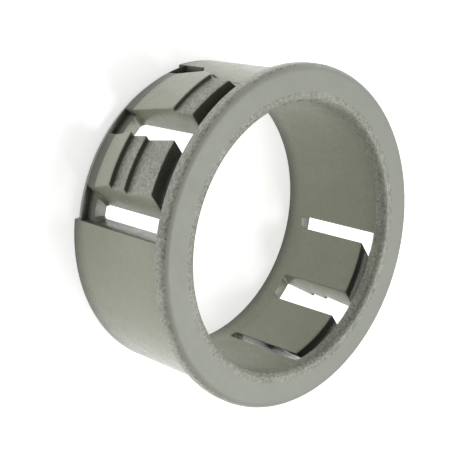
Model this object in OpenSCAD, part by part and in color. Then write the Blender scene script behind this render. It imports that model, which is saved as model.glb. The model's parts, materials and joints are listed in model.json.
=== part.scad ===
// Flanged snap bushing that lines a round hole in a panel.
// One moulding: a flange, a thin barrel behind it and four spring fingers in two opposite pairs.
// The bore runs along Z, the flange is at the top, and the origin is the centre of the rear rim.
// The two slides of the mould draw along -Y and +Y, so each pair is cut by faces parallel to Y.

/* [Barrel] */
// Outside diameter of the barrel under the flange, mm
barrel_d = 31.3; // [28:0.1:38]
// Thickness of the barrel wall, mm
wall_t = 1.95; // [1.7:0.05:2.3]
// Overall length from rear rim to front face, mm
length = 14.1; // [12:0.1:18]
// Draft of the outside of the barrel, which narrows to the rear, degrees
draft_a = 0.3; // [0.1:0.1:0.6]
// Height of the rear collar, up to the closed ends of the slots, mm
collar_h = 2.1; // [1.9:0.1:2.6]
// Height of the lead-in taper at the rear, mm
lead_in_h = 1; // [0.4:0.1:1.2]
// Depth of the lead-in taper at the rear, mm
lead_in_depth = 0.5; // [0.2:0.05:0.7]
// Depth of the channel that each slot leaves in the collar, mm
channel_depth = 0.7; // [0.3:0.05:0.9]

/* [Flange] */
// How far the flange reaches past the barrel, mm
flange_reach = 0.85; // [0.75:0.05:2.5]
// Thickness of the flange, mm
flange_t = 1.4; // [1:0.1:2]
// Radius on the front edge of the flange, mm
flange_round = 0.7; // [0.2:0.1:0.9]
// How far the mouth stands in from the bore, mm
mouth_lip = 0.75; // [0.4:0.05:1]
// Radius on the front edge of the mouth, mm
mouth_round = 0.6; // [0.2:0.1:0.6]
// Straight length of the mouth behind its rounded edge, mm
mouth_land = 0.7; // [0.5:0.1:1.2]
// Length of the full ring below the flange that the panel sits on, mm
spigot_h = 0.6; // [0.4:0.1:1]

/* [Fingers] */
// Offset from the draw line to the near side of the narrow finger, mm
narrow_near = 4.1; // [3.6:0.1:4.6]
// Width of the narrow finger, mm
narrow_w = 4.8; // [4:0.1:5]
// Width of the wide finger, mm
wide_w = 6.1; // [5:0.1:7]
// Gap between the finger tips and the panel seat under the flange, mm
panel_min = 1.8; // [1.2:0.1:2.4]
// Height of one step of the narrow finger above the barrel, mm
narrow_rise = 0.75; // [0.5:0.05:0.9]
// Drop at each step of the narrow finger, mm
narrow_drop = 0.5; // [0.3:0.05:0.55]
// Panel thickness that the front step of the narrow finger holds, mm
narrow_front = 5.7; // [5:0.1:6.2]
// Panel thickness that the rear step of the narrow finger holds, mm
narrow_rear = 7.7; // [7.2:0.1:8]
// Height of the ridge of the wide finger above the barrel, mm
wide_rise = 1.1; // [0.7:0.05:1.3]
// Drop from the ridge of the wide finger to its land, mm
wide_drop = 0.4; // [0.2:0.05:0.6]
// Panel thickness that the ridge of the wide finger holds, mm
wide_ridge = 4.1; // [3.6:0.1:4.9]
// How far the wide finger narrows on its far side towards the ridge, mm
wide_lean = 0.95; // [0.6:0.05:1.2]
// Length over which the wide finger narrows, mm
wide_lean_h = 1.8; // [1.2:0.1:2.4]

/* [Slots] */
// Width of the slot between the two fingers of a pair, mm
middle_slot = 2.8; // [2.2:0.1:3.4]
// Width at the bore of the slot beside the narrow finger, mm
narrow_slot = 1.24; // [1:0.02:1.6]
// Width at the bore of the slot beside the wide finger, mm
wide_slot = 0.93; // [0.75:0.02:1.3]
// Outward opening of each wall face, from the bore to the outside, degrees
wall_flare = 1.6; // [0:0.1:3]

// Height at which the lip of the wall beside the wide finger starts, mm
lip_z = 3.7; // [3.2:0.1:4.5]
// Gap between that lip and the wide finger, measured across the draw line, mm
lip_gap = 0.65; // [0.45:0.05:0.75]

// Thickness of the wall at the bore that the lip and the narrowing leave square, mm
slot_land = 0.3; // [0.2:0.05:0.6]

/* [Root] */
// Stock of a finger's root around the section it carries, mm
root_stock = 0.2; // [0.15:0.01:0.25]
// Running gap between a finger's root and the collar, mm
root_gap = 0.06; // [0.04:0.01:0.08]
// Gap at each side of a finger's root, mm
root_side_gap = 0.15; // [0.12:0.01:0.25]

/* [Hidden] */
$fn = 180;
eps = 0.01;
barrel_r = barrel_d / 2;
bore_r = barrel_r - wall_t;
flange_r = barrel_r + flange_reach;
mouth_r = bore_r - mouth_lip;
seat_z = length - flange_t;
spigot_z = seat_z - spigot_h;
tip_z = seat_z - panel_min;
narrow_far = narrow_near + narrow_w;
wide_near = narrow_near - middle_slot;
wide_far = wide_near - wide_w;
lean_z = seat_z - wide_ridge - wide_lean_h;
narrow_wall_a = asin(narrow_far / bore_r) + arc_a(narrow_slot);
wide_wall_a = asin(wide_far / bore_r) - arc_a(wide_slot);
root_z = collar_h + 0.05;

// Angle that an arc of this length takes up at the bore
function arc_a(arc) = arc / bore_r * 180 / PI;

// Radius of the drafted outside of the barrel at one height
function outside_r(z) = barrel_r - (spigot_z - z) * tan(draft_a);

// Outer outline of the narrow finger as [radius, height]: a ramp and two saw-tooth steps
function narrow_outline() = [
    [outside_r(collar_h), collar_h],
    [barrel_r + narrow_rise, seat_z - narrow_rear],
    [barrel_r + narrow_rise - narrow_drop, seat_z - narrow_rear],
    [barrel_r + narrow_rise - narrow_drop / 3, seat_z - narrow_front],
    [barrel_r + narrow_rise - narrow_drop * 4 / 3, seat_z - narrow_front],
    [barrel_r + narrow_rise, tip_z]];

// Outer outline of the wide finger as [radius, height]: one long ramp to a ridge, then a land
function wide_outline() = [
    [outside_r(collar_h), collar_h],
    [barrel_r + wide_rise, seat_z - wide_ridge],
    [barrel_r + wide_rise - wide_drop, seat_z - wide_ridge],
    [barrel_r + wide_rise - wide_drop, tip_z]];

// Angle of a finger's middle from its draw line, from the offsets of its two sides
function middle_a(near, far) = (asin(near / bore_r) + asin(far / bore_r)) / 2;

// How far the corners of a finger at the bore stand from the axis, along the finger's middle
function corner_r(near, far) = bore_r * cos(asin(far / bore_r) - middle_a(near, far));

// Radius of the line that a finger bends on, halfway through its section
function root_line_r(near, far) = (corner_r(near, far) + barrel_r) / 2;

// Radius of a finger's root about that line
function root_r(near, far) = (barrel_r - corner_r(near, far)) / 2 + root_stock;

// Point at a radius and an offset from the draw line, as [along the draw line, offset]
function draw_point(r, offset) = [sqrt(r * r - offset * offset), offset];

// Turns its children so that local +X is the draw line of the front or the back pair
module at_pair(front) {
    rotate([0, 0, front ? -90 : 90]) children();
}

// Keeps what lies between two faces that are parallel to the draw line
module between(low, high) {
    intersection() {
        children();
        translate([0, low, 0]) cube([2 * flange_r, high - low, length]);
    }
}

// Drafted tube of the barrel, between two heights
module barrel_tube(low, high) {
    difference() {
        translate([0, 0, low]) cylinder(h = high - low, r1 = outside_r(low), r2 = outside_r(high));
        translate([0, 0, -eps]) cylinder(h = length, r = bore_r);
    }
}

// Cylinder along the line that a finger bends on
module root_roll(near, far, r) {
    rotate([0, 0, middle_a(near, far)])
        translate([root_line_r(near, far), 0, root_z])
            rotate([90, 0, 0]) cylinder(h = flange_r, r = r, center = true);
}

// Far side of a slanted line from near the bore to the outside, within an outline of [offset, height]
// that is drawn along the draw line
module slanted(inner_offset, outer_offset, outline) {
    a = draw_point(bore_r + slot_land, inner_offset);
    b = draw_point(barrel_r, outer_offset);
    far = -2 * barrel_r;
    intersection() {
        linear_extrude(height = length)
            polygon([a, b, [2 * barrel_r, outer_offset], [2 * barrel_r, far], [a[0], far]]);
        rotate([90, 0, 90]) linear_extrude(height = 2 * barrel_r)
            polygon(concat(outline, [[far, length], [far, outline[0][1]]]));
    }
}

// What the wide finger loses on its far side, where it narrows towards the ridge
module lean_cut() {
    slanted(wide_far, wide_far + wide_lean, [
        [wide_far, lean_z], [wide_far + wide_lean, lean_z + wide_lean_h], [wide_far + wide_lean, length]]);
}

// Lip that the wall beside the wide finger reaches over the slot with, following the finger
module wall_lip() {
    edge = barrel_r * sin(wide_wall_a - wall_flare);
    inner_edge = (bore_r + slot_land) * sin(wide_wall_a - wall_flare * slot_land / wall_t);
    near = wide_far - lip_gap;
    slanted(inner_edge, near + wide_lean, [
        [edge, lip_z], [near, lip_z + near - edge], [near, lean_z],
        [near + wide_lean, lean_z + wide_lean_h], [near + wide_lean, length]]);
}

// One finger from its outline, with a rounded root
module finger(outline, near, far) {
    low = min(near, far);
    high = max(near, far);
    between(low, high) union() {
        rotate_extrude() polygon(concat([[bore_r, collar_h]], outline, [[bore_r, tip_z]]));
        intersection() {
            barrel_tube(0, collar_h + eps);
            root_roll(near, far, root_r(near, far));
        }
    }
}

// Pocket in the collar for a finger's root
module root_pocket(near, far) {
    between(min(near, far) - root_side_gap, max(near, far) + root_side_gap)
        root_roll(near, far, root_r(near, far) + root_gap);
}

// Channel behind one slot, between two offsets from the draw line
module slot_channel(low, high) {
    between(low, high) difference() {
        translate([0, 0, lead_in_h]) cylinder(h = length, r = flange_r);
        cylinder(h = 3 * length, r = barrel_r - channel_depth, center = true);
    }
}

// Window of one pair, from one wall face to the other, less the lip
module window() {
    difference() {
        window_wedge();
        wall_lip();
    }
}

// Wedge that covers one window, from one wall face to the other
module window_wedge() {
    reach = 2 * barrel_r;
    inner = [for (a = [wide_wall_a, narrow_wall_a]) bore_r * [cos(a), sin(a)]];
    outer = [for (a = [wide_wall_a - wall_flare, narrow_wall_a + wall_flare]) barrel_r * [cos(a), sin(a)]];
    far = [for (i = [0, 1]) inner[i] + (outer[i] - inner[i]) * reach / wall_t];
    near = [for (i = [0, 1]) inner[i] - (outer[i] - inner[i]) * 2];
    translate([0, 0, -eps]) linear_extrude(height = length + 2 * eps)
        polygon([near[0], far[0], [2 * reach, far[0][1]], [2 * reach, far[1][1]], far[1], near[1]]);
}

// Flange, its rounded mouth and the short full ring behind it
module flange_ring() {
    mouth_edge_z = length - mouth_round;
    color([0.66, 0.67, 0.65]) rotate_extrude() union() {
        translate([mouth_r, seat_z]) square([flange_r - mouth_r, mouth_edge_z - seat_z]);
        translate([bore_r, seat_z]) square([flange_r - bore_r, flange_t - flange_round]);
        translate([mouth_r + mouth_round, seat_z])
            square([flange_r - flange_round - mouth_r - mouth_round, flange_t]);
        translate([flange_r - flange_round, length - flange_round]) circle(r = flange_round, $fn = 48);
        translate([mouth_r + mouth_round, mouth_edge_z]) circle(r = mouth_round, $fn = 48);
        translate([bore_r, spigot_z]) square([wall_t, seat_z - spigot_z + eps]);
        polygon([[mouth_r, mouth_edge_z], [mouth_r, mouth_edge_z - mouth_land],
                 [bore_r, spigot_z], [bore_r + eps, mouth_edge_z]]);
    }
}

// Full ring at the rear, with the lead-in, the channels behind the slots and the root pockets
module rear_collar() {
    color([0.56, 0.57, 0.52]) difference() {
        barrel_tube(0, collar_h);
        for (front = [true, false]) at_pair(front) {
            intersection() {
                window_wedge();
                difference() {
                    translate([0, 0, -eps]) cylinder(h = lead_in_h + eps, r = flange_r);
                    translate([0, 0, -eps]) cylinder(
                        h = lead_in_h + eps, r1 = outside_r(0) - lead_in_depth, r2 = outside_r(lead_in_h));
                }
            }
            intersection() {
                window_wedge();
                union() {
                    slot_channel(narrow_far, flange_r);
                    slot_channel(wide_near, narrow_near);
                    slot_channel(-flange_r, wide_far);
                }
            }
            root_pocket(narrow_near, narrow_far);
            root_pocket(wide_near, wide_far);
        }
    }
}

// Plain wall between the two pairs, on the +X side or the -X side
module side_wall(right) {
    color([0.58, 0.59, 0.54]) intersection() {
        difference() {
            barrel_tube(collar_h, spigot_z);
            for (front = [true, false]) at_pair(front) window();
        }
        translate([right ? 0 : -2 * flange_r, -flange_r, 0]) cube([2 * flange_r, 2 * flange_r, length]);
    }
}

// Narrow finger of the front or the back pair
module narrow_finger(front) {
    color([0.62, 0.63, 0.59]) at_pair(front) finger(narrow_outline(), narrow_near, narrow_far);
}

// Wide finger of the front or the back pair
module wide_finger(front) {
    color([0.6, 0.61, 0.56]) at_pair(front) difference() {
        finger(wide_outline(), wide_near, wide_far);
        lean_cut();
    }
}

module side_wall_left() side_wall(false);
module side_wall_right() side_wall(true);
module front_narrow_finger() narrow_finger(true);
module front_wide_finger() wide_finger(true);
module back_narrow_finger() narrow_finger(false);
module back_wide_finger() wide_finger(false);

flange_ring();
rear_collar();
side_wall_left();
side_wall_right();
front_narrow_finger();
front_wide_finger();
back_narrow_finger();
back_wide_finger();
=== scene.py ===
"""Looks of a moulded nylon snap bushing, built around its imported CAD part."""
import json
import math

import bmesh
import bpy
from mathutils import Matrix, Vector


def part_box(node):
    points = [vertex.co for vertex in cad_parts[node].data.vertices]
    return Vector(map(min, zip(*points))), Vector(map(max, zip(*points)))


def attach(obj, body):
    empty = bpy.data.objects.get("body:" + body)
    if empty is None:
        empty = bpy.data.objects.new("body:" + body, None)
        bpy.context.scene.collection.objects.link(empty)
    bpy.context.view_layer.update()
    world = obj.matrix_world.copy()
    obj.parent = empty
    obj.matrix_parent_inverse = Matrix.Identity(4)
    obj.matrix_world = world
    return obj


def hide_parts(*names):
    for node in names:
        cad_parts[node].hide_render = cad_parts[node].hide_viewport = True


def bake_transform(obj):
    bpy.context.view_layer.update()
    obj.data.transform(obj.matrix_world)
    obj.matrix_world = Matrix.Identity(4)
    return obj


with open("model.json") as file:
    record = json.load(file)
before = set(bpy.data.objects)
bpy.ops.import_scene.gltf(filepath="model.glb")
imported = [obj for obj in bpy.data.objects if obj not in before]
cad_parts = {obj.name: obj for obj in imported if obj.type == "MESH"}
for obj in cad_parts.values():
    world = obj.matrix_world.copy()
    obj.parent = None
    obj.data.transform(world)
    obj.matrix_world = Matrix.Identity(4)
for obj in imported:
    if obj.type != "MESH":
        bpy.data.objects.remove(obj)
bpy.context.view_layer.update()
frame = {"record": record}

MM = 0.001

# ---------------------------------------------------------------- sizes from the frame
mounts = {m["name"]: m for m in frame["record"]["mounts"]}
FLANGE_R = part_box("flange_ring")[1].x
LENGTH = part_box("flange_ring")[1].z
SPIGOT_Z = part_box("flange_ring")[0].z
SEAT_Z = mounts["panel_face"]["pos_m"][2]
BARREL_R = mounts["panel_seat"]["dims"]["r_mm"] * MM
MOUTH_R = mounts["mouth_bore"]["dims"]["r_mm"] * MM
MOUTH_LAND = mounts["mouth_bore"]["dims"]["length_mm"] * MM
MOUTH_LAND_Z = mounts["mouth_bore"]["pos_m"][2] - MOUTH_LAND / 2
COLLAR_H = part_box("rear_collar")[1].z
NARROW_NEAR, NARROW_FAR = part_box("front_narrow_finger")[0].x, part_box("front_narrow_finger")[1].x
WIDE_FAR, WIDE_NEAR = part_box("front_wide_finger")[0].x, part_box("front_wide_finger")[1].x

# ---------------------------------------------------------------- sizes of the moulding's own details
WALL_T = 1.95 * MM            # thickness of the barrel wall
BORE_R = BARREL_R - WALL_T
CORE_R = BARREL_R - 0.7 * MM  # floor of the channel behind each slot
LEAD_IN_H = 1.0 * MM          # height of the lead-in taper at the rear
LEAD_IN_DEPTH = 0.5 * MM
# Wall faces beside a pair, at the bore, in degrees from the draw line
WIDE_WALL_A, NARROW_WALL_A = -24.4, 45.7
WALL_FLARE = 1.6              # how far each wall face opens towards the outside, degrees
DRAFT = math.radians(0.3)     # the outside of the barrel narrows to the rear
SLOT_ROUND = 0.4 * MM         # rounding where a slot ends at the collar
ROOT_Z = COLLAR_H + SLOT_ROUND
# The lip and the narrowing of the wide finger leave this much square at the bore
SLOT_LAND_R = BORE_R + 0.3 * MM
LIP_Z = 3.7 * MM              # where the lip of the wall starts that follows the wide finger
LIP_GAP = 0.65 * MM           # between that lip and the finger
FLANGE_ROUND = 0.7 * MM
FLANGE_BACK_ROUND = 0.12 * MM
MOUTH_ROUND = LENGTH - MOUTH_LAND_Z - MOUTH_LAND
EDGE_ROUND = 0.14 * MM        # broken edge that a mould leaves
HALF_TURN = 180.0
TINY = 1e-6                   # two sizes nearer than this are the same

# Steps of the fingers in mm: where they are below the panel seat, their rise above the barrel, their drop
TIP_DEPTH = (SEAT_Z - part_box("front_narrow_finger")[1].z) / MM
NARROW_REAR, NARROW_FRONT, NARROW_RISE, NARROW_DROP = 7.7, 5.7, 0.75, 0.5
WIDE_RIDGE, WIDE_RISE, WIDE_DROP = 4.1, 1.1, 0.4
# Outer outlines of the fingers above the collar, as (rise above the barrel, depth below the panel seat)
NARROW_STEPS = [
    (NARROW_RISE, NARROW_REAR),
    (NARROW_RISE - NARROW_DROP, NARROW_REAR),
    (NARROW_RISE - NARROW_DROP / 3, NARROW_FRONT),
    (NARROW_RISE - NARROW_DROP * 4 / 3, NARROW_FRONT),
    (NARROW_RISE, TIP_DEPTH)]
WIDE_STEPS = [
    (WIDE_RISE, WIDE_RIDGE),
    (WIDE_RISE - WIDE_DROP, WIDE_RIDGE),
    (WIDE_RISE - WIDE_DROP, TIP_DEPTH)]

WIDE_LEAN = 0.95 * MM         # how far the wide finger narrows on its far side
# Heights between which it narrows: the last 1.8 mm up to its ridge
WIDE_LEAN_Z = (SEAT_Z - (WIDE_RIDGE + 1.8) * MM, SEAT_Z - WIDE_RIDGE * MM)


# ---------------------------------------------------------------- materials
def linear(hex_colour):
    """An sRGB hex colour as linear RGBA."""
    parts = [int(hex_colour[i:i + 2], 16) / 255 for i in (1, 3, 5)]
    return [p / 12.92 if p <= 0.04045 else ((p + 0.055) / 1.055) ** 2.4 for p in parts] + [1.0]


def add(tree, kind, settings=None, **links):
    """Adds one node. settings are its properties, links its inputs: each a value or another node's output.

    An input is given by its name with _ for a space, or as i and its number where two inputs share a name.
    """
    node = tree.nodes.new(kind)
    for name, value in (settings or {}).items():
        setattr(node, name, value)
    for name, value in links.items():
        by_number = name[0] == "i" and name[1:].isdigit()
        socket = node.inputs[int(name[1:]) if by_number else name.replace("_", " ")]
        if isinstance(value, bpy.types.NodeSocket):
            tree.links.new(value, socket)
        else:
            socket.default_value = value
    return node


# A colour Mix node takes its two colours at i6 and i7, and gives the result at this output
MIXED = 2


def nylon(name, dark, light, roughness, grain_mm, grain_depth_mm, sparkle, crevice=0.12):
    """Unfilled grey nylon, moulded, between a dark and a light colour.

    grain_mm and grain_depth_mm are the pits that the mould's surface prints, and sparkle is how much they
    change the colour. crevice is the share of the colour that is left in the tightest corners, where the
    colour is darkened as painted shade.
    """
    # The last of these is how far the painted shade in the corners reaches
    cloud_mm, rub_mm, shade_reach_mm = 4, 1.3, 2.0
    material = bpy.data.materials.new(name)
    material.use_nodes = True
    tree = material.node_tree
    shader = tree.nodes["Principled BSDF"]
    shader.inputs["IOR"].default_value = 1.53
    shader.inputs["Specular IOR Level"].default_value = 0.4
    place = add(tree, "ShaderNodeTexCoord").outputs["Object"]
    # Slow cloudiness of the melt
    cloud = add(tree, "ShaderNodeTexNoise", Vector=place, Scale=1 / (cloud_mm * MM), Detail=3.0,
                Roughness=0.5)
    # Pits of the mould's surface
    grain = add(tree, "ShaderNodeTexNoise", Vector=place, Scale=1 / (grain_mm * MM), Detail=2.0,
                Roughness=0.6)
    speckle = add(tree, "ShaderNodeMapRange", Value=grain.outputs["Fac"], From_Min=0.3, From_Max=0.7,
                  To_Min=-sparkle, To_Max=sparkle)
    amount = add(tree, "ShaderNodeMath", {"operation": "ADD"}, i0=cloud.outputs["Fac"],
                 i1=speckle.outputs["Result"])
    colour = add(tree, "ShaderNodeMix", {"data_type": "RGBA"}, Factor=amount.outputs[0],
                 i6=linear(dark), i7=linear(light))
    # Painted shade: ambient occlusion darkens the colour in the inner corners
    corner = add(tree, "ShaderNodeAmbientOcclusion", {"samples": 8}, Distance=shade_reach_mm * MM)
    shade = add(tree, "ShaderNodeMapRange", Value=corner.outputs["AO"], From_Min=0.25, From_Max=0.95,
                To_Min=crevice, To_Max=1.0)
    corner_shaded = add(tree, "ShaderNodeMix", {"data_type": "RGBA", "blend_type": "MULTIPLY"}, Factor=1.0,
                i6=colour.outputs[MIXED], i7=shade.outputs["Result"])
    tree.links.new(corner_shaded.outputs[MIXED], shader.inputs["Base Color"])
    # Wear and touch leave the gloss uneven
    rub = add(tree, "ShaderNodeTexNoise", Vector=place, Scale=1 / (rub_mm * MM), Detail=2.0)
    gloss = add(tree, "ShaderNodeMapRange", Value=rub.outputs["Fac"], From_Min=0.25, From_Max=0.75,
                To_Min=roughness - 0.05, To_Max=roughness + 0.07)
    tree.links.new(gloss.outputs["Result"], shader.inputs["Roughness"])
    bump = add(tree, "ShaderNodeBump", Height=grain.outputs["Fac"], Distance=grain_depth_mm * MM,
               Strength=1.0)
    tree.links.new(bump.outputs["Normal"], shader.inputs["Normal"])
    return material


FINISHES = [
    # Nylon moulded against polished steel: a soft sheen and hardly any grain
    nylon("nylon_polished_steel", "#8b8f7b", "#989b8a", 0.27, 0.5, 0.004, 0.03),
    # Nylon moulded against a finely blasted face: even and matt, with fine grain
    nylon("nylon_blasted_face", "#8d9085", "#999c91", 0.45, 0.22, 0.012, 0.2),
    # Nylon moulded against a spark-eroded face: coarse pits that sparkle.
    # The grain is drawn coarser than the real 0.1 mm, which would not show
    nylon("nylon_spark_eroded", "#6f7266", "#a5a79b", 0.34, 0.25, 0.06, 0.5),
    # A darker, glossier copy of the nylon, as painted shade: it goes on faces that lie in shade, such as the
    # steps and tips of the fingers, the lead-in, the channel and the sides of the slots
    nylon("nylon_painted_shade", "#56594e", "#666a5e", 0.24, 0.3, 0.01, 0.06, 0.42)]
SMOOTH, BLASTED, ERODED, PAINTED_SHADE = range(len(FINISHES))


# ---------------------------------------------------------------- mesh helpers
def polar(radius, angle, z):
    """Point at a radius and an angle in degrees, counter-clockwise from the front pair's draw line."""
    turn = math.radians(angle - 90)
    return Vector((radius * math.cos(turn), radius * math.sin(turn), z))


def make_piece(name, bm, bevel=EDGE_ROUND):
    """Turns a bmesh into an object with smooth faces, all finishes and round edges where it has weight."""
    bmesh.ops.remove_doubles(bm, verts=bm.verts, dist=1e-7)
    bmesh.ops.recalc_face_normals(bm, faces=bm.faces)
    for face in bm.faces:
        face.smooth = True
    mesh = bpy.data.meshes.new(name)
    bm.to_mesh(mesh)
    bm.free()
    obj = bpy.data.objects.new(name, mesh)
    bpy.context.scene.collection.objects.link(obj)
    for finish in FINISHES:
        mesh.materials.append(finish)
    if bevel:
        rounding = obj.modifiers.new("edge_round", "BEVEL")
        rounding.limit_method = "WEIGHT"
        rounding.width = bevel
        rounding.segments = 3
        rounding.use_clamp_overlap = True
        rounding.loop_slide = True
        apply_modifiers(obj)
    mesh = obj.data
    mesh.set_sharp_from_angle(angle=math.radians(28))
    return obj


def apply_modifiers(obj):
    """Keeps the mesh that the modifiers give."""
    graph = bpy.context.evaluated_depsgraph_get()
    made = bpy.data.meshes.new_from_object(obj.evaluated_get(graph))
    obj.modifiers.clear()
    obj.data = made


def outside(z):
    """Radius of the drafted outside of the barrel at one height."""
    return BARREL_R - max(0.0, SPIGOT_Z - z) * math.tan(DRAFT)


def lead_in_end():
    """Where the lead-in taper meets the outside, as (radius, z)."""
    return (outside(LEAD_IN_H), LEAD_IN_H)


def arc(centre, radius, start, end, steps):
    """Points of an arc in (radius, z), angles in degrees."""
    return [(centre[0] + radius * math.cos(math.radians(start + (end - start) * i / steps)),
             centre[1] + radius * math.sin(math.radians(start + (end - start) * i / steps)))
            for i in range(steps + 1)]


# ---------------------------------------------------------------- flange
def build_flange(turns=360):
    """Flange with its rounded rim and mouth, turned from one outline that runs once round its section."""
    small = FLANGE_BACK_ROUND
    rim_centre = (FLANGE_R - FLANGE_ROUND, LENGTH - FLANGE_ROUND)
    corners = [
        (arc((MOUTH_R + MOUTH_ROUND, LENGTH - MOUTH_ROUND), MOUTH_ROUND, 90, 180, 12), ERODED),
        ([(MOUTH_R, MOUTH_LAND_Z)], ERODED),
        ([(BORE_R, SPIGOT_Z), (BORE_R + small, SPIGOT_Z), (BORE_R + small, SEAT_Z)], SMOOTH),
        (arc((FLANGE_R - small, SEAT_Z + small), small, 270, 360, 4), ERODED),
        (arc(rim_centre, FLANGE_ROUND, 0, 45, 6), ERODED),
        (arc(rim_centre, FLANGE_ROUND, 45, 90, 6)[1:], BLASTED)]
    outline = [(point, finish) for points, finish in corners for point in points]
    # The front face gets a few rings, so that its grain and its normals stay even
    face_in, face_out, bands = MOUTH_R + MOUTH_ROUND, FLANGE_R - FLANGE_ROUND, 6
    outline += [((face_out + (face_in - face_out) * i / bands, LENGTH), BLASTED) for i in range(1, bands)]
    bm = bmesh.new()
    rings = [[bm.verts.new(polar(r, 360 * t / turns, z)) for (r, z), _ in outline] for t in range(turns)]
    for t in range(turns):
        here, there = rings[t], rings[(t + 1) % turns]
        for i in range(len(outline)):
            j = (i + 1) % len(outline)
            face = bm.faces.new((here[i], here[j], there[j], there[i]))
            face.material_index = outline[j][1]
    return make_piece("flange", bm, bevel=0)


# ---------------------------------------------------------------- barrel: collar, walls and top ring
def side_angle(offset, radius):
    """Angle from the draw line of a face parallel to it, at one radius."""
    return math.degrees(math.asin(offset / radius))


def column(low_angle, high_angle, floor, kind):
    """One upright line of the barrel: its angles at the bore and the outside, its slot floor, its kind."""
    return {"in": low_angle, "out": high_angle, "floor": floor, "kind": kind}


def slot_columns(start, end):
    """Columns across one slot between two side lines, with a floor that is rounded up into both sides."""
    steps = 14
    middle_r = (BORE_R + BARREL_R) / 2
    width = math.radians((end[0] + end[1] - start[0] - start[1]) / 2) * middle_r
    columns = []
    for i in range(steps + 1):
        share = (1 - math.cos(math.pi * i / steps)) / 2
        reach = min(share, 1 - share) * width
        lift = SLOT_ROUND - math.sqrt(max(0, SLOT_ROUND ** 2 - max(0, SLOT_ROUND - reach) ** 2))
        columns.append(column(start[0] + (end[0] - start[0]) * share, start[1] + (end[1] - start[1]) * share,
                              COLLAR_H + lift, "slot"))
    return columns


def span_columns(start, end, kind, step=1.0):
    """Even columns about step degrees apart between two side lines, without the first and last."""
    count = max(2, round(abs(end[0] - start[0]) / step))
    return [column(start[0] + (end[0] - start[0]) * i / count, start[1] + (end[1] - start[1]) * i / count,
                   ROOT_Z, kind) for i in range(1, count)]


def barrel_columns():
    """All columns of half a turn: one window with its three slots, then one side wall."""
    wide_far, wide_near, narrow_near, narrow_far = (
        (side_angle(offset, BORE_R), side_angle(offset, BARREL_R))
        for offset in (WIDE_FAR, WIDE_NEAR, NARROW_NEAR, NARROW_FAR))
    wall_start = (NARROW_WALL_A, NARROW_WALL_A + WALL_FLARE)
    window_start = (WIDE_WALL_A, WIDE_WALL_A - WALL_FLARE)
    wall_end = (window_start[0] + HALF_TURN, window_start[1] + HALF_TURN)
    return (slot_columns(window_start, wide_far)
            + span_columns(wide_far, wide_near, "root")
            + slot_columns(wide_near, narrow_near)
            + span_columns(narrow_near, narrow_far, "root")
            + slot_columns(narrow_far, wall_start)
            + span_columns(wall_start, wall_end, "wall"))


def build_barrel():
    """Barrel as one shell: full rings at the rear and under the flange, and two side walls between them."""
    half = barrel_columns()
    columns = half + [{**c, "in": c["in"] + HALF_TURN, "out": c["out"] + HALF_TURN} for c in half]
    bm = bmesh.new()
    weight = bm.edges.layers.float.new("bevel_weight_edge")
    made = {}

    def vertex(index, radius, z):
        c = columns[index % len(columns)]
        share = (radius - BORE_R) / WALL_T
        key = (index % len(columns), round(radius * 1e7), round(z * 1e7))
        if key not in made:
            made[key] = bm.verts.new(polar(radius, c["in"] + (c["out"] - c["in"]) * share, z))
        return made[key]

    rear_corner, rear_edge, lead_in_top = (outside(0) - LEAD_IN_DEPTH, 0), (outside(0), 0), lead_in_end()
    root_edge = (outside(ROOT_Z), ROOT_Z)

    def lower_section(c):
        """Section of the rear ring in a window, from the bore round the outside to the slot floor."""
        return [(BORE_R, 0), rear_corner, lead_in_top, (CORE_R, LEAD_IN_H),
                (CORE_R, c["floor"]), (BORE_R, c["floor"])]

    # Sides of that section that get the darker copy of the nylon as painted shade: the taper, the step
    # behind it, the channel
    shaded_lower_sides = (1, 2, 3)
    upper_section = [(BORE_R, SPIGOT_Z), (BARREL_R, SPIGOT_Z), (BARREL_R, SEAT_Z), (BORE_R, SEAT_Z)]
    wall_section = [(BORE_R, 0), rear_corner, rear_edge, lead_in_top, root_edge,
                    (BARREL_R, SPIGOT_Z), (BARREL_R, SEAT_Z), (BORE_R, SEAT_Z),
                    (BORE_R, SPIGOT_Z), (BORE_R, ROOT_Z)]

    def skin(i, sections, shade_sides=()):
        """Faces between column i and the next, one for each side of the section.

        The last argument holds the numbers of the sides that get the darker copy of the nylon, as painted
        shade.
        """
        here, there = sections
        for k in range(len(here)):
            n = (k + 1) % len(here)
            ring = [vertex(i, *here[k]), vertex(i, *here[n]),
                    vertex(i + 1, *there[n]), vertex(i + 1, *there[k])]
            ring = [v for m, v in enumerate(ring) if v not in ring[:m]]
            if len(ring) > 2 and not bm.faces.get(ring):
                bm.faces.new(ring).material_index = PAINTED_SHADE if k in shade_sides else SMOOTH

    count = len(columns)
    for i in range(count):
        here, there = columns[i], columns[(i + 1) % count]
        if "wall" in (here["kind"], there["kind"]):
            skin(i, (wall_section, wall_section))
        else:
            skin(i, (lower_section(here), lower_section(there)), shade_sides=shaded_lower_sides)
            skin(i, (upper_section, upper_section))
    # Side faces of the walls: what the wall's section has and the rings' sections don't.
    # They get the darker copy of the nylon, as painted shade.
    for i in range(count):
        before, here, after = columns[i - 1], columns[i], columns[(i + 1) % count]
        if here["kind"] == "slot" and "wall" in (before["kind"], after["kind"]):
            for outline in (
                    (rear_corner, rear_edge, lead_in_top),
                    ((CORE_R, LEAD_IN_H), lead_in_top, root_edge, (CORE_R, ROOT_Z)),
                    ((BORE_R, ROOT_Z), (CORE_R, ROOT_Z), root_edge,
                     (BARREL_R, SPIGOT_Z), (BORE_R, SPIGOT_Z))):
                bm.faces.new([vertex(i, *p) for p in outline]).material_index = PAINTED_SHADE
    for back in (False, True):
        add_lip(bm, back)
    round_sharp_edges(bm, weight, keep=lambda z, r: z < SPIGOT_Z - TINY or abs(r - BARREL_R) > TINY)
    return make_piece("barrel", bm)


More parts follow.
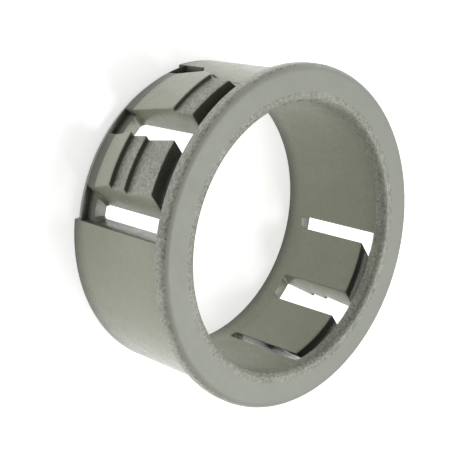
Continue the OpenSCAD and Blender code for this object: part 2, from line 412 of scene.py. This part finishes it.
# How the lip is laid out: the height of a rung, then angles in degrees
LIP_RUNG = 0.4 * MM
LIP_LEAST = 0.05              # least reach past the wall, where the lip begins
LIP_FULL = 3.0                # reach from which on the lip has its full depth
LIP_ROOT, LIP_SINK = 0.5, 0.3  # how far it runs into the wall, outside and inside


def lip_outline():
    """Edge of the lip on the barrel's outside, from the rear up: (offset from the draw line, height)."""
    near = WIDE_FAR - LIP_GAP
    edge = outside(LIP_Z) * math.sin(math.radians(WIDE_WALL_A - WALL_FLARE))
    return [(edge, LIP_Z), (near, LIP_Z + near - edge), (near, WIDE_LEAN_Z[0]),
            (near + WIDE_LEAN, WIDE_LEAN_Z[1]), (near + WIDE_LEAN, SPIGOT_Z)]


def add_lip(bm, back):
    """Lip that the wall beside the wide finger reaches over the slot with, sunk a little into the wall."""
    turn = Matrix.Rotation(math.pi if back else 0, 3, "Z")
    outline = lip_outline()
    rungs = []
    for (offset0, z0), (offset1, z1) in zip(outline, outline[1:]):
        parts = max(1, round(abs(z1 - z0) / LIP_RUNG))
        rungs += [(offset0 + (offset1 - offset0) * i / parts, z0 + (z1 - z0) * i / parts)
                  for i in range(parts)]
    rungs.append(outline[-1])
    steps = 6
    wall_inner = WIDE_WALL_A - WALL_FLARE * (SLOT_LAND_R - BORE_R) / WALL_T
    wall_outer = WIDE_WALL_A - WALL_FLARE
    rows = []
    for offset, z in rungs:
        radius = outside(z)
        tip = max(wall_outer + LIP_LEAST, math.degrees(math.asin(offset / radius)))
        heel = wall_outer - LIP_ROOT
        outer = [polar(radius, heel + (tip - heel) * i / steps, z) for i in range(steps + 1)]
        # The slanted face runs from the bore's square land to the outside. A short lip is shallow too
        reach = min(1.0, (tip - wall_outer) / LIP_FULL)
        root = polar(SLOT_LAND_R + (radius - SLOT_LAND_R) * (1 - reach), wall_inner - LIP_SINK, z)
        rows.append([bm.verts.new(turn @ p) for p in [root] + outer])
    for here, there in zip(rows, rows[1:]):
        for i in range(len(here)):
            j = (i + 1) % len(here)
            face = bm.faces.new((here[i], here[j], there[j], there[i]))
            # The slanted face and the underside of the lip get the darker copy of the nylon, as painted
            # shade
            face.material_index = PAINTED_SHADE if j == 0 else SMOOTH
    bm.faces.new(rows[0]).material_index = PAINTED_SHADE
    bm.faces.new(rows[-1])


def round_sharp_edges(bm, weight, keep, limit=35):
    """Gives bevel weight to the edges that turn by more than limit degrees and that keep() accepts."""
    bmesh.ops.recalc_face_normals(bm, faces=bm.faces)
    for edge in bm.edges:
        middle = (edge.verts[0].co + edge.verts[1].co) / 2
        if len(edge.link_faces) == 2 and keep(middle.z, middle.xy.length):
            if edge.calc_face_angle(0) > math.radians(limit):
                edge[weight] = 1.0


# ---------------------------------------------------------------- fingers
FINGER_RUNG, FINGER_COLUMN = 0.45 * MM, 0.3 * MM   # about the height and width of a face


def finger_levels(steps):
    """Rungs of a finger from its root up: (height, outer radius just below, outer radius just above)."""
    outline = [(outside(COLLAR_H), COLLAR_H)]
    outline += [(BARREL_R + rise * MM, SEAT_Z - depth * MM) for rise, depth in steps]
    root = outline[0][0] + (outline[1][0] - outline[0][0]) * (ROOT_Z - COLLAR_H) / (outline[1][1] - COLLAR_H)
    levels = [(ROOT_Z, root, root)]
    for (r0, z0), (r1, z1) in zip(outline, outline[1:]):
        if z1 == z0:
            levels[-1] = (z0, levels[-1][1], r1)
            continue
        start = max(z0, ROOT_Z)
        parts = max(1, round((z1 - start) / FINGER_RUNG))
        for i in range(1, parts + 1):
            z = start + (z1 - start) * i / parts
            r = r0 + (r1 - r0) * (z - z0) / (z1 - z0)
            levels.append((z, r, r))
    return levels


def lean(radius, z):
    """How far the wide finger has narrowed on its far side."""
    up = (z - WIDE_LEAN_Z[0]) / (WIDE_LEAN_Z[1] - WIDE_LEAN_Z[0])
    out = (radius - SLOT_LAND_R) / (BARREL_R - SLOT_LAND_R)
    return WIDE_LEAN * min(1.0, max(0.0, up)) * min(1.0, max(0.0, out))


def build_finger(name, steps, low, high, back):
    """One finger: swept between its two side faces, which are parallel to the draw line."""
    levels = finger_levels(steps)
    first_ridge = SEAT_Z - steps[0][1] * MM
    columns = max(12, round((high - low) / FINGER_COLUMN))
    bm = bmesh.new()
    weight = bm.edges.layers.float.new("bevel_weight_edge")
    turn = Matrix.Rotation(math.pi if back else 0, 3, "Z")
    made = {}

    def vertex(column, radius, z):
        key = (column, round(radius * 1e8), round(z * 1e8))
        if key not in made:
            start = low + (lean(radius, z) if low < 0 else 0.0)
            offset = start + (high - start) * column / columns
            made[key] = bm.verts.new(turn @ Vector((offset, -math.sqrt(radius ** 2 - offset ** 2), z)))
        return made[key]

    # Outer face from the lead-in up to the tip, then the tip, the bore face and the hidden root
    lead_in_top, root_top = lead_in_end(), (outside(COLLAR_H), COLLAR_H)
    outer = [(CORE_R, LEAD_IN_H), lead_in_top, root_top]
    for z, lower, upper in levels:
        outer += [(lower, z)] if lower == upper else [(lower, z), (upper, z)]
    inner = [(BORE_R, z) for z, _, _ in reversed(levels)]
    section = outer + inner + [(CORE_R, ROOT_Z)]
    for c in range(columns):
        for k in range(len(section)):
            a, b = section[k], section[(k + 1) % len(section)]
            face = bm.faces.new((vertex(c, *a), vertex(c, *b), vertex(c + 1, *b), vertex(c + 1, *a)))
            middle_r, middle_z = (a[0] + b[0]) / 2, (a[1] + b[1]) / 2
            # Level faces, the risers and the tips, and the lead-in get the darker copy of the nylon, as
            # painted shade
            level = abs(a[1] - b[1]) < 1e-9 and a[1] > COLLAR_H
            if level or a == lead_in_top:
                face.material_index = PAINTED_SHADE
            elif middle_z > first_ridge - TINY and middle_r > BORE_R + 0.05 * MM:
                face.material_index = ERODED
    for c in (0, columns):
        bm.faces.new([vertex(c, *p) for p in (
            (CORE_R, LEAD_IN_H), lead_in_top, root_top, (levels[0][1], ROOT_Z), (CORE_R, ROOT_Z))])
        for k, ((z0, _, r0), (z1, r1, _)) in enumerate(zip(levels, levels[1:])):
            rung = [(BORE_R, z0)] + ([(CORE_R, z0)] if k == 0 else []) + [(r0, z0), (r1, z1)]
            lower_top = levels[k + 1][2]
            if lower_top < r1:
                rung.append((lower_top, z1))
            rung.append((BORE_R, z1))
            bm.faces.new([vertex(c, *p) for p in rung])
    round_sharp_edges(bm, weight, keep=lambda z, r: (
        z > ROOT_Z + TINY or (z > LEAD_IN_H + TINY and r > CORE_R + TINY)))
    return make_piece(name, bm)


flange = build_flange()
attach(flange, "body")
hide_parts("flange_ring")

barrel = build_barrel()
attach(barrel, "body")
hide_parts("rear_collar", "side_wall_left", "side_wall_right")

for back in (False, True):
    for kind, steps, low, high in (("narrow", NARROW_STEPS, NARROW_NEAR, NARROW_FAR),
                                   ("wide", WIDE_STEPS, WIDE_FAR, WIDE_NEAR)):
        node = f"{'back' if back else 'front'}_{kind}_finger"
        finger = build_finger(node + "_moulding", steps, low, high, back)
        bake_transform(finger)
        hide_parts(node)


# ---------------------------------------------------------------- floor, light and camera
TABLE_SIZE = 3.0              # metres
TABLE_DROP = 0.02 * MM        # keeps the bushing's rear face and the table out of one plane


def lit_table(name, hex_colour, glow):
    """Opal sheet of a light table: white, even and matt, with a trace of fibre."""
    material = bpy.data.materials.new(name)
    material.use_nodes = True
    tree = material.node_tree
    shader = tree.nodes["Principled BSDF"]
    shader.inputs["Roughness"].default_value = 0.9
    place = add(tree, "ShaderNodeTexCoord").outputs["Object"]
    # Fibres a little over 1 mm long
    fibre = add(tree, "ShaderNodeTexNoise", Vector=place, Scale=900.0, Detail=2.0)
    tone = add(tree, "ShaderNodeMix", {"data_type": "RGBA"}, Factor=fibre.outputs["Fac"],
               i6=linear(hex_colour), i7=linear("#fcfcfc"))
    tree.links.new(tone.outputs[MIXED], shader.inputs["Base Color"])
    shader.inputs["Emission Color"].default_value = linear("#fcfcfc")
    shader.inputs["Emission Strength"].default_value = glow
    return material


bpy.ops.mesh.primitive_plane_add(size=TABLE_SIZE, location=(0, 0, -TABLE_DROP))
floor = bpy.context.object
floor.name = "floor"
floor.data.materials.append(lit_table("opal_table", "#f4f4f4", 0.62))


def area_light(name, where, size, watts):
    """A square softbox that faces the middle of the bushing."""
    light = bpy.data.lights.new(name, "AREA")
    light.shape = "SQUARE"
    light.size = size
    light.energy = watts
    obj = bpy.data.objects.new(name, light)
    obj.location = Vector(where)
    obj.rotation_euler = (Vector((0, 0, LENGTH / 2)) - obj.location).to_track_quat("-Z", "Y").to_euler()
    bpy.context.scene.collection.objects.link(obj)


area_light("softbox_above", (-0.08, 0.24, 0.48), 0.42, 2.3)
area_light("softbox_side", (-0.34, 0.03, 0.08), 0.10, 0.12)

world = bpy.data.worlds.new("studio")
bpy.context.scene.world = world
world.use_nodes = True
backdrop = world.node_tree.nodes["Background"]
backdrop.inputs["Color"].default_value = linear("#ffffff")
# The backdrop is white to the eye, but lights the bushing less, as the far walls of a studio do
seen = add(world.node_tree, "ShaderNodeLightPath").outputs["Is Camera Ray"]
brightness = add(world.node_tree, "ShaderNodeMapRange", Value=seen, To_Min=0.36, To_Max=1.0)
world.node_tree.links.new(brightness.outputs["Result"], backdrop.inputs["Strength"])
bpy.context.scene.view_settings.view_transform = "Standard"

CAMERA_AZIMUTH = math.radians(123.5)   # direction it looks in, counter-clockwise from +X
CAMERA_DIP = math.radians(44.1)        # how far it looks down
CAMERA_ROLL = math.radians(105.6)      # turn about its own axis, which lays the bushing on its side
CAMERA_PLACE = Vector((44.4, -64.9, 82.1)) * MM
CAMERA_LENS = 84.4                     # focal length in mm
camera_data = bpy.data.cameras.new("camera")
camera_data.lens = CAMERA_LENS
camera_data.clip_start = 1 * MM
camera = bpy.data.objects.new("camera", camera_data)
bpy.context.scene.collection.objects.link(camera)
look = Vector((math.cos(CAMERA_AZIMUTH) * math.cos(CAMERA_DIP),
               math.sin(CAMERA_AZIMUTH) * math.cos(CAMERA_DIP),
               -math.sin(CAMERA_DIP)))
level = look.to_track_quat("-Z", "Y").to_matrix().to_4x4()
camera.matrix_world = Matrix.Translation(CAMERA_PLACE) @ level @ Matrix.Rotation(CAMERA_ROLL, 4, "Z")
bpy.context.scene.camera = camera
